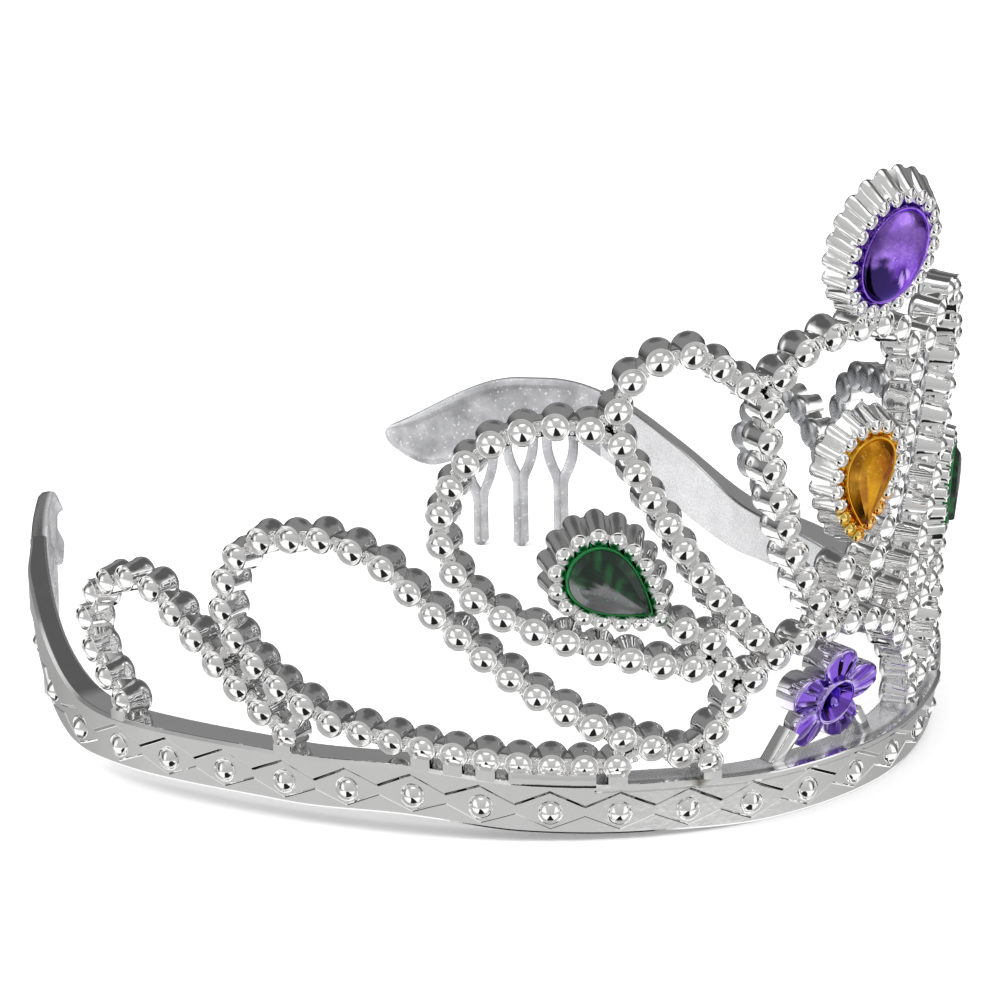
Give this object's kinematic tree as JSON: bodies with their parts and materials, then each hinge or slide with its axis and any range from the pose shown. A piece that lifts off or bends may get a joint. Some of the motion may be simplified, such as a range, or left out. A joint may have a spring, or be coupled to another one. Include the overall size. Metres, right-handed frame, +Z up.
{
  "type": "toy tiara",
  "caption": "Child's dress-up tiara: beaded scroll loops on a relief band, a flower boss, set stones and a comb tab at each end.",
  "frame": {"origin": "centre of the bounding box's base, on the table that the tiara stands on", "axes": "+Z up; -Y is the front, with the tall centre; +X towards the wearer's left; the left-right mirror plane is X = 0"},
  "size_m": [0.1308, 0.1423, 0.0871],
  "materials": {
    "silver_plate": "bright vacuum-metallised silver plating on moulded plastic",
    "pearl_plastic": "satin pearly grey plastic, slightly see-through, thinly plated",
    "purple_lacquer": "clear purple lacquer over bright plating",
    "amber_lacquer": "clear amber lacquer over bright plating",
    "green_lacquer": "clear dark green lacquer over bright plating"
  },
  "bodies": {
    "root": {"band_front": "silver_plate", "centre_loop_crown": "silver_plate", "centre_stem": "silver_plate", "amber_setting": "silver_plate", "amber_stone": "amber_lacquer", "purple_setting": "silver_plate", "purple_stone": "purple_lacquer", "flower": "purple_lacquer", "left_band_side": "silver_plate", "left_band_rear": "silver_plate", "left_band_arm": "silver_plate", "left_comb_tab": "pearl_plastic", "left_comb_tooth_1": "pearl_plastic", "left_comb_tooth_2": "pearl_plastic", "left_comb_tooth_3": "pearl_plastic", "left_rear_loop_outer": "silver_plate", "left_rear_loop_inner": "silver_plate", "left_low_loop_bottom": "silver_plate", "left_low_loop_heel": "silver_plate", "left_low_loop_crown": "silver_plate", "left_low_loop_slope": "silver_plate", "left_tall_loop_bottom": "silver_plate", "left_tall_loop_heel": "silver_plate", "left_tall_loop_crown": "silver_plate", "left_shared_slope": "silver_plate", "left_upper_loop_crown": "silver_plate", "left_centre_loop_side": "silver_plate", "left_flower_arch": "silver_plate", "left_drop_stem": "silver_plate", "left_green_setting": "silver_plate", "left_green_stone": "green_lacquer", "left_flower_strut": "silver_plate", "right_band_side": "silver_plate", "right_band_rear": "silver_plate", "right_band_arm": "silver_plate", "right_comb_tab": "pearl_plastic", "right_comb_tooth_1": "pearl_plastic", "right_comb_tooth_2": "pearl_plastic", "right_comb_tooth_3": "pearl_plastic", "right_rear_loop_outer": "silver_plate", "right_rear_loop_inner": "silver_plate", "right_low_loop_bottom": "silver_plate", "right_low_loop_heel": "silver_plate", "right_low_loop_crown": "silver_plate", "right_low_loop_slope": "silver_plate", "right_tall_loop_bottom": "silver_plate", "right_tall_loop_heel": "silver_plate", "right_tall_loop_crown": "silver_plate", "right_shared_slope": "silver_plate", "right_upper_loop_crown": "silver_plate", "right_centre_loop_side": "silver_plate", "right_flower_arch": "silver_plate", "right_drop_stem": "silver_plate", "right_green_setting": "silver_plate", "right_green_stone": "green_lacquer", "right_flower_strut": "silver_plate"}
  },
  "joints": []
}
